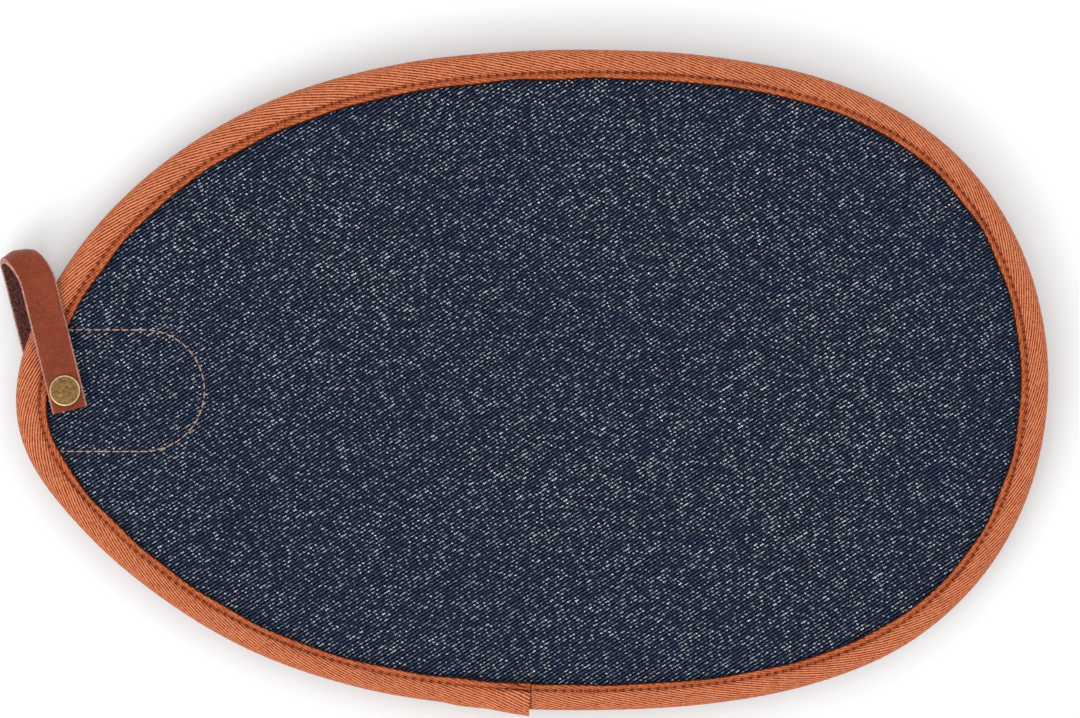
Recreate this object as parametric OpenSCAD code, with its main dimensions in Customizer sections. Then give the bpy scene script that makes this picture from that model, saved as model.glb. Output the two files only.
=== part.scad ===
// Two-pocket pinch oven mitt, lying flat with its gripping face up.
// One egg-shaped quilted palm wall carries two pockets on its underside: a long one for the fingers and a
// short one for the thumb. The hand goes in through the slit between them, and the mitt folds there, so
// that the gripping face closes round a handle. A leather strap is riveted through the thumb tip.
// Millimetres. +X points to the finger end, +Z out of the gripping face, and z = 0 is the table.

/* [Outline] */
// Length from the thumb tip to the finger tip, binding included
mitt_length = 340; // [280:5:410]
// Width across the middle, binding included
mitt_width = 217; // [175:1:265]
// Linear term of the egg: how much wider the finger half is than the thumb half
egg_lean = 0.06; // [0:0.01:0.12]
// Square term of the egg: how much fuller both ends are than an ellipse
egg_fullness = 0.175; // [0.1:0.005:0.2]
// Cubic term of the egg: widens the finger end and narrows the thumb end
egg_taper = 0.175; // [0:0.005:0.2]
// Fourth-power term of the egg: draws both tips in
egg_tips = -0.14; // [-0.16:0.01:0]
// How far the thumb tip is sewn off the centre line
tip_drop = 7; // [0:0.5:8]

/* [Cloth] */
// Thickness of the denim shells
denim_t = 1; // [0.6:0.1:1.6]
// Thickness of the wadding in each wall
wadding_t = 3; // [2:0.5:5]
// Thickness of the wadding where the rim squeezes it
wadding_rim_t = 2; // [1.9:0.1:2.4]
// Thickness of the twill lining
lining_t = 0.6; // [0.3:0.1:1]
// Height of the room for the hand between the two linings
hand_room = 7.8; // [6:0.2:14]
// Gap left between neighbouring layers of cloth
layer_gap = 0.04; // [0.02:0.01:0.06]

/* [Binding] */
// Width of the binding tape on each face
tape_w = 10; // [8:0.5:14]
// Thickness of the folded tape
tape_t = 0.85; // [0.5:0.05:1.1]
// Distance of the binding seam from the tape's inner edge
seam_inset = 2.5; // [2:0.5:4]
// Length of the folded tape end that laps over the join
lap_length = 22; // [14:1:27]
// Diameter of the sewing thread
thread_d = 0.4; // [0.3:0.05:0.5]

/* [Fold and pockets] */
// Place of the fold line and slit along the mitt
fold_x = -30; // [-36:1:-24]
// Gap between the two halves at the fold
fold_gap = 0.4; // [0.3:0.1:1]
// Gap between the two pocket mouths beside the rim
mouth_gap = 1.6; // [1:0.2:10]
// How far each pocket mouth curves back at the centre line
mouth_curve = 12; // [6:1:15]
// Width of the tape that binds each pocket mouth
mouth_tape_w = 8; // [6:0.5:10]
// Thickness of the tape that binds each pocket mouth
mouth_tape_t = 0.5; // [0.4:0.05:0.5]
// Distance over which a pocket opens from its sewn edge to its full depth
pocket_ramp = 23; // [18:1:30]

/* [Patch] */
// Distance from the thumb tip to the centre of the patch's round end
patch_reach = 42.2; // [38:0.2:52]
// Radius of the seam round the patch
patch_seam_r = 20; // [14:0.5:24]
// Margin of leather outside that seam
patch_margin = 2.8; // [2:0.1:4]
// Thickness of the leather patch
patch_t = 1.5; // [1:0.1:2]

/* [Strap and rivet] */
// Distance from the thumb tip to the rivet
rivet_reach = 16.6; // [16:0.1:20]
// Width of the leather strap
strap_w = 12; // [10:0.5:15]
// Thickness of the strap leather
strap_t = 2; // [1.4:0.1:2.6]
// Distance from the rivet to the outside of the strap's bend
strap_reach = 48.3; // [46:0.1:60]
// Length of strap past the rivet
strap_tail = 6.8; // [6.2:0.2:9]
// Direction of the strap from +X at rest
strap_angle = 104; // [104:1:180]
// Diameter of the rivet's caps
rivet_cap_d = 10.5; // [8:0.5:12]
// Height of each rivet cap
rivet_cap_h = 1.4; // [1.2:0.1:2]
// Diameter of the rivet's socket, which goes through every layer
rivet_socket_d = 4; // [3.4:0.1:4.8]
// Wall of the rivet's socket
rivet_socket_wall = 0.45; // [0.3:0.05:0.6]

/* [Hidden] */
$fn = 48;

DENIM = "#303746";
WADDING = "#ece6d8";
LINING = "#2b3550";
TAPE = "#ba6a48";
THREAD = "#7d3d24";
PATCH_THREAD = "#c08a63";
LEATHER = "#8c4028";
BRASS = "#88613a";

// The two halves of the mitt, by the side of the fold that they lie on
FINGERS = 1;
THUMB = -1;

half_length = mitt_length / 2;
tip_drop_power = 8.5;

// Clearances: cloth in its binding, parts that slide past each other, and the rivet in its holes
cloth_gap = 0.15;
slide_gap = 0.35;
rivet_gap = 0.05;

// Heights in the palm wall, which lies flat over both pockets
wall_t = denim_t + wadding_t + lining_t;
palm_bottom = wall_t + hand_room;
palm_lining_top = palm_bottom + lining_t;
palm_wadding_top = palm_lining_top + wadding_t;
palm_top = palm_wadding_top + denim_t;

// Heights in a pocket's wall, each as [at the rim, where the pocket is fully open]
lining_top = [palm_bottom, wall_t];
lining_bottom = lining_top - lining_t * [1, 1];
denim_top = [lining_bottom[0] - wadding_rim_t, denim_t];
denim_bottom = denim_top - denim_t * [1, 1];

// How far a mouth's tape squeezes the wall from above, and with its thread from below
tape_squeeze = mouth_tape_t + cloth_gap;
thread_room = thread_d + 2 * layer_gap;
thread_squeeze = tape_squeeze + thread_room;

// The edge binding
cloth_inset = tape_t + cloth_gap;
binding_top = palm_top + cloth_gap + tape_t;
binding_bottom = denim_bottom[0] - cloth_gap - tape_t;
seam_from_rim = tape_w - seam_inset;
curl_r = tape_t + 0.35;
lap_end_x = fold_x + 28.7;

// A pocket stays shut under the binding and over the patch, and a little way past both
shut_margin = 7;

// The patch, the rivet and the strap
rivet_xy = [-half_length + rivet_reach, -tip_drop / 2];
patch_xy = [-half_length + patch_reach, rivet_xy.y];
patch_r = patch_seam_r + patch_margin;
patch_bottom = denim_bottom[0] - cloth_gap - patch_t;
strap_front_z = binding_top + thread_d + slide_gap;
strap_back_z = patch_bottom - thread_d - slide_gap;
rivet_cap_z = strap_front_z + strap_t + slide_gap;
rivet_base_z = strap_back_z - strap_t - slide_gap;

// ---- The outline ----

// Half of the width at a place u along the mitt, from -1 at the thumb tip to 1 at the finger tip, is that
// of an ellipse times a quartic in u. An angle of 0 is the thumb tip, and angles grow towards +Y.
function egg(u) = 1 + egg_lean * u + egg_fullness * u ^ 2 + egg_taper * u ^ 3 + egg_tips * u ^ 4;
function centre_line(u) = u < 0 ? -tip_drop * (-u) ^ tip_drop_power : 0;
function edge_at(angle) = let (u = -cos(angle))
    [half_length * u, centre_line(u) + mitt_width / 2 * sin(angle) * egg(u)];
function inward_at(angle) = let (t = edge_at(angle + 0.5) - edge_at(angle - 0.5)) [t.y, -t.x] / norm(t);
function inset_at(angle, d) = edge_at(angle) + d * inward_at(angle);
function angle_at(x) = acos(-x / half_length);

// The angle, on the +Y side, at which the line d inside the outline crosses a given x
function crossing(x, d, angle, tries = 4) = tries == 0 ? angle
    : crossing(x, d, angle + (x - inset_at(angle, d).x) / half_length / sin(angle) * 180 / PI, tries - 1);

// Points along one half of the outline, d inside it, from the fold clockwise back to the fold
function half_outline(half, d) = let (
    a = crossing(fold_x + half * fold_gap / 2, d, angle_at(fold_x)),
    from = half == FINGERS ? a : -a,
    to = half == FINGERS ? 360 - a : a,
    steps = half == FINGERS ? 50 : 40
) [for (i = [0 : steps]) inset_at(lerp(from, to, i / steps), d)];

function lerp(a, b, t) = a + (b - a) * t;
function clamp01(t) = min(1, max(0, t));
function smooth(t) = let (s = clamp01(t)) s * s * (3 - 2 * s);
function reversed(list) = [for (i = [len(list) - 1 : -1 : 0]) list[i]];
function segment_distance(p, a, b) =
    let (ab = b - a, t = clamp01((p - a) * ab / (ab * ab))) norm(p - a - t * ab);
OUTLINE = [for (angle = [0 : 5 : 355]) edge_at(angle)];
function rim_distance(p) = min([
    for (i = [0 : len(OUTLINE) - 1]) segment_distance(p, OUTLINE[i], OUTLINE[(i + 1) % len(OUTLINE)])
]);

// ---- Solids from points ----

// A closed solid between two skins over one grid. Seen from above the upper skin, its rows follow each
// other in the direction of +X when its columns follow each other in that of +Y.
module between(upper, lower) {
    rows = len(upper);
    columns = len(upper[0]);
    count = rows * columns;
    function at(r, c) = r * columns + c;
    top = [for (r = [0 : rows - 2]) for (c = [0 : columns - 2]) each [
        [at(r, c), at(r, c + 1), at(r + 1, c + 1)],
        [at(r, c), at(r + 1, c + 1), at(r + 1, c)]
    ]];
    bottom = [for (f = top) [f[2] + count, f[1] + count, f[0] + count]];
    rim = concat(
        [for (c = [0 : columns - 1]) at(0, c)],
        [for (r = [1 : rows - 1]) at(r, columns - 1)],
        [for (c = [columns - 2 : -1 : 0]) at(rows - 1, c)],
        [for (r = [rows - 2 : -1 : 1]) at(r, 0)]
    );
    walls = [for (i = [0 : len(rim) - 1]) let (a = rim[i], b = rim[(i + 1) % len(rim)])
        each [[b, a, a + count], [b, a + count, b + count]]];
    polyhedron([for (row = concat(upper, lower)) each row], concat(top, bottom, walls), convexity = 6);
}

// A closed solid through equal rings of points, each ring clockwise seen along the sweep
module through(rings) {
    n = len(rings[0]);
    last = (len(rings) - 1) * n;
    sides = [for (k = [0 : len(rings) - 2]) for (i = [0 : n - 1]) let (a = k * n, b = (i + 1) % n)
        each [[a + i, a + b, a + n + b], [a + i, a + n + b, a + n + i]]];
    ends = [[for (i = [n - 1 : -1 : 0]) i], [for (i = [0 : n - 1]) last + i]];
    polyhedron([for (ring = rings) each ring], concat(sides, ends), convexity = 6);
}

// A thread along level points
module thread(points) {
    last = len(points) - 1;
    through([for (i = [0 : last]) let (
        t = points[min(i + 1, last)] - points[max(i - 1, 0)],
        across = [t.y, -t.x, 0] / norm([t.x, t.y])
    ) [for (a = [0 : 60 : 300]) points[i] + thread_d / 2 * (cos(a) * across - [0, 0, sin(a)])]]);
}
function lifted(points, z) = [for (p = points) [p.x, p.y, z]];

// ---- Palm wall ----

module palm_layer(half, bottom, thickness) {
    difference() {
        translate([0, 0, bottom])
            linear_extrude(thickness - layer_gap)
                polygon(half_outline(half, cloth_inset));
        if (half == THUMB) rivet_hole();
    }
}

module rivet_hole() {
    translate([rivet_xy.x, rivet_xy.y, -1])
        cylinder(d = rivet_socket_d + 2 * rivet_gap, h = rivet_cap_z + 2);
}

// ---- Pockets ----

// How far open a pocket is at a place: 0 where it is sewn shut, 1 where it has its full depth
function puff(p) = smooth(
    (min(rim_distance(p) - tape_w, p.x - patch_xy.x - patch_r) - shut_margin) / pocket_ramp
);

// A row across a pocket starts at its own distance from the mouth, keeps a share of the mouth's curve, and
// has a share of the squeeze that the mouth's tape gives the wall.
mouth_strip = mouth_tape_w + 1;
mouth_rows = [[0, 1], [mouth_strip, 1], [mouth_strip + 5, 0]];
pocket_columns = 16;
further_rows = 13;
function mouth_row_angle(half, row) = angle_at(fold_x + half * (mouth_gap / 2 + row[0]));
function pocket_rows(half) = let (
    from = mouth_row_angle(half, mouth_rows[2]),
    to = half == FINGERS ? 178 : 2
) concat(
    [for (row = mouth_rows) [mouth_row_angle(half, row), 1, row[1]]],
    [for (i = [1 : further_rows]) [lerp(from, to, i / further_rows), (1 - i / further_rows) ^ 3, 0]]
);

// The grid of one pocket: [x, y, how far open, how much squeezed]. The mouth's own row is as open as the row
// behind it, so that the tape lies evenly.
function open_grid(half) = [for (row = pocket_rows(half)) [for (c = [0 : pocket_columns]) let (
    share = (1 - cos(180 * c / pocket_columns)) / 2,
    straight = lerp(inset_at(-row[0], cloth_inset), inset_at(row[0], cloth_inset), share),
    bow = half * mouth_curve * 4 * share * (1 - share),
    p = [straight.x + bow * row[1], straight.y]
) [p.x, p.y, puff(p), row[2]]]];
function evened(grid) = concat(
    [[for (c = [0 : pocket_columns]) [grid[0][c].x, grid[0][c].y, grid[1][c][2], grid[0][c][3]]]],
    [for (i = [1 : len(grid) - 1]) grid[i]]
);
function pocket_grid(half) = evened(open_grid(half));
finger_grid = pocket_grid(FINGERS);
thumb_grid = pocket_grid(THUMB);

// Rows of a grid between two distances from the mouth, both of them inside the mouth strip
function strip(grid, from, to) = [
    lerp(grid[0], grid[1], from / mouth_strip), lerp(grid[0], grid[1], to / mouth_strip)
];
function cloth_of(grid) = concat(
    [strip(grid, mouth_tape_t + cloth_gap, 0)[0]], [for (i = [1 : len(grid) - 1]) grid[i]]
);
function skin_of(grid, height, squeeze, lift = 0) = [for (row = grid) [for (p = row)
    [p[0], p[1], lerp(height[0], height[1], p[2]) + squeeze * p[3] + lift]]];
function is_finger(grid) = grid[0][0].x < grid[len(grid) - 1][0].x;

// The part of a pocket between two heights, with the squeeze at each of them
module pocket_layer(grid, top, top_squeeze, bottom, bottom_squeeze) {
    ordered = is_finger(grid) ? grid : reversed(grid);
    difference() {
        between(
            skin_of(ordered, top - [1, 1] * layer_gap, -top_squeeze),
            skin_of(ordered, bottom, bottom_squeeze)
        );
        if (!is_finger(grid)) rivet_hole();
    }
}
module pocket_denim(grid)
    pocket_layer(cloth_of(grid), denim_top, -thread_squeeze, denim_bottom, thread_squeeze);
module pocket_wadding(grid)
    pocket_layer(cloth_of(grid), lining_bottom, tape_squeeze, denim_top, thread_squeeze);
module pocket_lining(grid)
    pocket_layer(cloth_of(grid), lining_top, tape_squeeze, lining_bottom, -tape_squeeze);

// Tape folded over a pocket's mouth: two skins, depth mm apart, that start on the outside of the pocket
function mouth_tape_skin(grid, depth) = let (
    edges = strip(grid, depth, mouth_tape_w),
    low = thread_room + depth,
    rows = [
        skin_of([edges[1]], denim_bottom, 0, low)[0], skin_of([edges[0]], denim_bottom, 0, low)[0],
        skin_of([edges[0]], lining_top, 0, -depth)[0], skin_of([edges[1]], lining_top, 0, -depth)[0]
    ]
) is_finger(grid) ? rows : reversed(rows);
module mouth_binding(grid) {
    between(mouth_tape_skin(grid, 0), mouth_tape_skin(grid, mouth_tape_t));
}
module mouth_thread(grid) {
    seam = strip(grid, mouth_tape_w - seam_inset, 0)[0];
    thread([for (p = seam) [p.x, p.y, lerp(denim_bottom[0], denim_bottom[1], p[2]) + thread_d / 2]]);
}

// ---- Edge binding ----

// Tape folded round the rim. A skin of it is [distance inside the outline, height] from the inner edge on
// the face, round two curled corners, to the inner edge underneath. out is how far it lies outside the
// first turn's outer skin.
function tape_section(out) = let (r = curl_r + out) concat(
    [[tape_w, binding_top + out]],
    [for (a = [0, 45, 90]) [curl_r - r * sin(a), binding_top - curl_r + r * cos(a)]],
    [for (a = [90, 45, 0]) [curl_r - r * sin(a), binding_bottom + curl_r - r * cos(a)]],
    [[tape_w, binding_bottom - out]]
);
function transposed(grid) = [for (i = [0 : len(grid[0]) - 1]) [for (row = grid) row[i]]];
function rim_tape_skin(half, out) = transposed(
    [for (s = tape_section(out)) lifted(half_outline(half, s[0]), s[1])]
);
module edge_binding(half) {
    between(rim_tape_skin(half, 0), rim_tape_skin(half, -tape_t));
}

// The tape's folded end laps over its start on the -Y side, on the finger half
lap_from = 360 - angle_at(lap_end_x);
lap_to = 360 - angle_at(lap_end_x - lap_length);
lap_lift = tape_t + layer_gap;
function lap_skin(out, steps = 6) = [for (k = [0 : steps]) let (angle = lerp(lap_from, lap_to, k / steps))
    [for (s = tape_section(out)) let (p = inset_at(angle, s[0])) [p.x, p.y, s[1]]]];

// The binding seam on both faces between two angles, lifted off the first turn of tape
module seam_thread(from, to, lift, steps) {
    row = [for (i = [0 : steps]) inset_at(lerp(from, to, i / steps), seam_from_rim)];
    thread(lifted(row, binding_top + lift + thread_d / 2));
    thread(lifted(row, binding_bottom - lift - thread_d / 2));
}

// ---- Patch ----

// A U that runs from the tape round the patch, d inside its seam
function patch_u(d) = let (
    r = patch_seam_r - d,
    start_x = -half_length + tape_w + 9
) concat(
    [[start_x, patch_xy.y - r]],
    [for (a = [-90 : 15 : 90]) patch_xy + r * [cos(a), sin(a)]],
    [[start_x, patch_xy.y + r]]
);

// ---- Sub-parts ----

module face_panel_fingers() color(DENIM) palm_layer(FINGERS, palm_wadding_top, denim_t);
module palm_wadding_fingers() color(WADDING) palm_layer(FINGERS, palm_lining_top, wadding_t);
module palm_lining_fingers() color(LINING) palm_layer(FINGERS, palm_bottom, lining_t);
module finger_pocket_denim() color(DENIM) pocket_denim(finger_grid);
module finger_pocket_wadding() color(WADDING) pocket_wadding(finger_grid);
module finger_pocket_lining() color(LINING) pocket_lining(finger_grid);
module finger_mouth_binding() color(TAPE) mouth_binding(finger_grid);
module finger_mouth_stitching() color(THREAD) mouth_thread(finger_grid);
module edge_binding_fingers() color(TAPE) edge_binding(FINGERS);
module face_panel_thumb() color(DENIM) palm_layer(THUMB, palm_wadding_top, denim_t);
module palm_wadding_thumb() color(WADDING) palm_layer(THUMB, palm_lining_top, wadding_t);
module palm_lining_thumb() color(LINING) palm_layer(THUMB, palm_bottom, lining_t);
module thumb_pocket_denim() color(DENIM) pocket_denim(thumb_grid);
module thumb_pocket_wadding() color(WADDING) pocket_wadding(thumb_grid);
module thumb_pocket_lining() color(LINING) pocket_lining(thumb_grid);
module thumb_mouth_binding() color(TAPE) mouth_binding(thumb_grid);
module thumb_mouth_stitching() color(THREAD) mouth_thread(thumb_grid);
module edge_binding_thumb() color(TAPE) edge_binding(THUMB);

module binding_lap() {
    color(TAPE) between(lap_skin(lap_lift), lap_skin(lap_lift - tape_t));
}

module edge_stitching_fingers() {
    fold_angle = crossing(fold_x + fold_gap / 2, seam_from_rim, angle_at(fold_x));
    clear = 0.4;
    color(THREAD) {
        seam_thread(fold_angle, lap_from - clear, 0, 46);
        seam_thread(lap_from + clear, lap_to - clear, lap_lift, 3);
        seam_thread(lap_to + clear, 360 - fold_angle, 0, 2);
    }
}

module edge_stitching_thumb() {
    fold_angle = crossing(fold_x - fold_gap / 2, seam_from_rim, angle_at(fold_x));
    color(THREAD) seam_thread(-fold_angle, fold_angle, 0, 40);
}

module leather_patch() {
    color(LEATHER)
        difference() {
            intersection() {
                translate([0, 0, patch_bottom])
                    linear_extrude(patch_t)
                        polygon(half_outline(THUMB, tape_w + cloth_gap));
                union() {
                    translate([patch_xy.x, patch_xy.y, 0]) cylinder(r = patch_r, h = palm_bottom);
                    translate([-half_length, patch_xy.y - patch_r, 0])
                        cube([patch_reach, 2 * patch_r, palm_bottom]);
                }
            }
            rivet_hole();
        }
}

module patch_stitching() {
    color(PATCH_THREAD)
        for (z = [palm_top + thread_d / 2, patch_bottom - thread_d / 2])
            thread(lifted(patch_u(0), z));
}

// A flat disc with a rounded rim
module rivet_disc() {
    bevel = 0.5;
    rotate_extrude($fn = 64)
        polygon([
            [0, 0], [rivet_cap_d / 2, 0], [rivet_cap_d / 2, rivet_cap_h - bevel],
            [rivet_cap_d / 2 - bevel, rivet_cap_h], [0, rivet_cap_h]
        ]);
}

module rivet_cap() {
    pin_d = rivet_socket_d - 2 * rivet_socket_wall - 2 * rivet_gap;
    pin_end = strap_back_z;
    color(BRASS)
        translate([rivet_xy.x, rivet_xy.y, 0])
            union() {
                translate([0, 0, rivet_cap_z]) rivet_disc();
                translate([0, 0, pin_end]) cylinder(d = pin_d, h = rivet_cap_z - pin_end + 0.5);
            }
}

module rivet_base() {
    socket_h = rivet_cap_z - layer_gap - rivet_base_z;
    color(BRASS)
        translate([rivet_xy.x, rivet_xy.y, rivet_base_z])
            union() {
                mirror([0, 0, 1]) rivet_disc();
                difference() {
                    translate([0, 0, -0.5]) cylinder(d = rivet_socket_d, h = socket_h + 0.5);
                    cylinder(d = rivet_socket_d - 2 * rivet_socket_wall, h = socket_h + 1);
                }
            }
}

// A leather band bent into a hairpin over the rim, with a rivet hole through both legs
module hanging_strap() {
    outer_r = (strap_front_z + strap_t - (strap_back_z - strap_t)) / 2;
    inner_r = outer_r - strap_t;
    middle_z = strap_front_z + strap_t - outer_r;
    leg = strap_reach - outer_r + strap_tail;
    color(LEATHER)
        difference() {
            translate([rivet_xy.x, rivet_xy.y, 0])
                rotate([0, 0, strap_angle])
                    union() {
                        for (z = [strap_front_z, strap_back_z - strap_t])
                            translate([-strap_tail, -strap_w / 2, z]) cube([leg, strap_w, strap_t]);
                        translate([strap_reach - outer_r, 0, middle_z])
                            rotate([90, 0, 0])
                                rotate([0, 0, -90])
                                    translate([0, 0, -strap_w / 2])
                                        strap_bend(outer_r, inner_r);
                    }
            rivet_hole();
        }
}
module strap_bend(outer_r, inner_r) {
    difference() {
        cylinder(r = outer_r, h = strap_w);
        translate([0, 0, -1]) cylinder(r = inner_r, h = strap_w + 2);
        translate([-outer_r - 1, -2 * outer_r, -1]) cube([2 * outer_r + 2, 2 * outer_r, strap_w + 2]);
    }
}

face_panel_fingers();
palm_wadding_fingers();
palm_lining_fingers();
finger_pocket_denim();
finger_pocket_wadding();
finger_pocket_lining();
finger_mouth_binding();
finger_mouth_stitching();
edge_binding_fingers();
binding_lap();
edge_stitching_fingers();
face_panel_thumb();
palm_wadding_thumb();
palm_lining_thumb();
thumb_pocket_denim();
thumb_pocket_wadding();
thumb_pocket_lining();
thumb_mouth_binding();
thumb_mouth_stitching();
edge_binding_thumb();
edge_stitching_thumb();
leather_patch();
patch_stitching();
rivet_cap();
rivet_base();
hanging_strap();
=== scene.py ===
# %% [markdown]
# # A two-pocket oven mitt
# The mitt is one egg-shaped quilted wall with two pockets on its underside. It folds across the slit
# between them, so that its denim face closes round a handle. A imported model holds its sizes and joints.
# Here every layer of cloth, tape, thread, leather and brass is made again as a finished piece around it.

import bpy
import numpy as np
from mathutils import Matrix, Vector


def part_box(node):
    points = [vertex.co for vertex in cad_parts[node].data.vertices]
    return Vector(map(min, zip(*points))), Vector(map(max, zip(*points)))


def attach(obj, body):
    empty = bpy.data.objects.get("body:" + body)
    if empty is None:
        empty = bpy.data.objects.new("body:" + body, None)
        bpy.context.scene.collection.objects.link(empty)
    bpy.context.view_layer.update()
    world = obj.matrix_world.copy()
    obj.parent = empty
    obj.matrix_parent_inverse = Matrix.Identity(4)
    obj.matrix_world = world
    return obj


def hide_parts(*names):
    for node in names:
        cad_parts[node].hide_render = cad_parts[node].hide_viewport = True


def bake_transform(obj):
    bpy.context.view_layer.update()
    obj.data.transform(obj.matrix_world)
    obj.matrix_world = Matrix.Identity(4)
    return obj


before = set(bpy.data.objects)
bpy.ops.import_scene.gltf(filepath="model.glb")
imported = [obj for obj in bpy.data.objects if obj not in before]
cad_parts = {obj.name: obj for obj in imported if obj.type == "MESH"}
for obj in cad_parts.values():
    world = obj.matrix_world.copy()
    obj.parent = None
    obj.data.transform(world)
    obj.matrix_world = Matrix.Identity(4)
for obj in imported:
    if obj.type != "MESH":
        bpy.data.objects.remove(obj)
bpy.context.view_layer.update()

# %% [markdown]
# Lengths below are in millimetres, as a maker would give them, and a mesh is turned into metres only when
# it is made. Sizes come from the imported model's boxes where they can, so that nothing has to be fitted.

# %% Sizes from the model
MM = 0.001


def box(node):
    """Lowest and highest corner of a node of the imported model, in millimetres."""
    low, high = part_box(node)
    return np.array(low) / MM, np.array(high) / MM


finger_tape, thumb_tape = box("edge_binding_fingers"), box("edge_binding_thumb")
HALF_LENGTH = (finger_tape[1][0] - thumb_tape[0][0]) / 2
RIM_TOP, RIM_BOTTOM = finger_tape[1][2], finger_tape[0][2]
RIM_MIDDLE, HALF_HEIGHT = (RIM_TOP + RIM_BOTTOM) / 2, (RIM_TOP - RIM_BOTTOM) / 2
FOLD_X = (thumb_tape[1][0] + finger_tape[0][0]) / 2
FACE_Z = box("face_panel_fingers")[1][2]
DENIM = FACE_Z - box("face_panel_fingers")[0][2]
PALM_WADDING_Z = box("palm_wadding_fingers")[0][2]
PALM_LINING_Z = box("palm_lining_fingers")[0][2]
PATCH_LOW, PATCH_HIGH = box("leather_patch")
STRAP_LOW, STRAP_HIGH = box("hanging_strap")
RIVET_LOW, RIVET_HIGH = box("rivet_cap")
RIVET = (RIVET_LOW + RIVET_HIGH) / 2
LAP_END_X, LAP_START_X = box("binding_lap")[1][0], box("binding_lap")[0][0]
print(f"length {2 * HALF_LENGTH:.1f} mm, rim {RIM_TOP - RIM_BOTTOM:.1f} mm high, fold at x = {FOLD_X:.1f} mm")

# %% [markdown]
# ## The camera and the light
# The mitt lies on white paper and is seen from straight above through a long lens, so that it keeps its
# true outline. A broad lamp from the lower left gives the tape its soft shading, and an even white sky
# fills in the rest.

# %% Camera
VIEW_CENTRE = (2.6, 6.9)
VIEW_WIDTH = 355.9
CAMERA_HEIGHT = 2400
camera = bpy.data.objects.new("camera", bpy.data.cameras.new("camera"))
bpy.context.scene.collection.objects.link(camera)
camera.location = (VIEW_CENTRE[0] * MM, VIEW_CENTRE[1] * MM, CAMERA_HEIGHT * MM)
camera.data.lens = camera.data.sensor_width * (CAMERA_HEIGHT - RIM_MIDDLE) / VIEW_WIDTH
bpy.context.scene.camera = camera
bpy.context.scene.view_settings.view_transform = "Standard"
print(f"lens {camera.data.lens:.0f} mm")


# %% Lamps and sky
def lamp(name, place, size, power):
    """A square lamp that shines on the middle of the mitt from a place given in millimetres."""
    light = bpy.data.lights.new(name, "AREA")
    light.size = size * MM
    light.energy = power
    thing = bpy.data.objects.new(name, light)
    thing.location = np.array(place) * MM
    thing.rotation_euler = (-thing.location).to_track_quat("-Z", "Y").to_euler()
    bpy.context.scene.collection.objects.link(thing)


lamp("key_lamp", (-700, -900, 1000), 900, 6)
lamp("fill_lamp", (900, 500, 1300), 1200, 1.5)
world = bpy.data.worlds.new("white_sky")
world.use_nodes = True
sky = world.node_tree.nodes["Background"].inputs
sky["Color"].default_value, sky["Strength"].default_value = (1, 1, 1, 1), 1.03
bpy.context.scene.world = world


# %% [markdown]
# ## Materials
# Weave and grain are arithmetic on positions, and arithmetic reads best as formulas. `Value` wraps a
# socket, so that `1 - mask * 0.5` adds Math nodes, and `Finish.node` makes any other node in one call.

# %% A socket that can be calculated with
class Value:
    """A number that varies over the surface, held in one socket of a material."""

    def __init__(self, finish, socket):
        self.finish, self.socket = finish, socket

    def math(self, operation, *others):
        return self.finish.node("ShaderNodeMath", {"operation": operation}, [self, *others])

    def __add__(self, other): return self.math("ADD", other)
    def __mul__(self, other): return self.math("MULTIPLY", other)
    def __sub__(self, other): return self.math("SUBTRACT", other)
    def __truediv__(self, other): return self.math("DIVIDE", other)
    def __rsub__(self, other): return (self * -1) + other
    __radd__ = __add__

    def floor(self): return self.math("FLOOR")
    def fract(self): return self.math("FRACT")
    def power(self, exponent): return self.math("POWER", exponent)
    def at_most(self, other): return self.math("MINIMUM", other)
    def at_least(self, other): return self.math("MAXIMUM", other)
    def size(self): return self.math("ABSOLUTE")

    def step(self, low, high):
        """0 up to low, 1 from high, and a smooth step between them."""
        settings = {"interpolation_type": "SMOOTHSTEP"}
        return self.finish.node("ShaderNodeMapRange", settings, {0: self, 1: low, 2: high})

    def wave(self):
        """A cosine of this many turns, raised to run from 0 to 1."""
        return (self * (2 * np.pi)).math("COSINE") * 0.5 + 0.5


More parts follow.
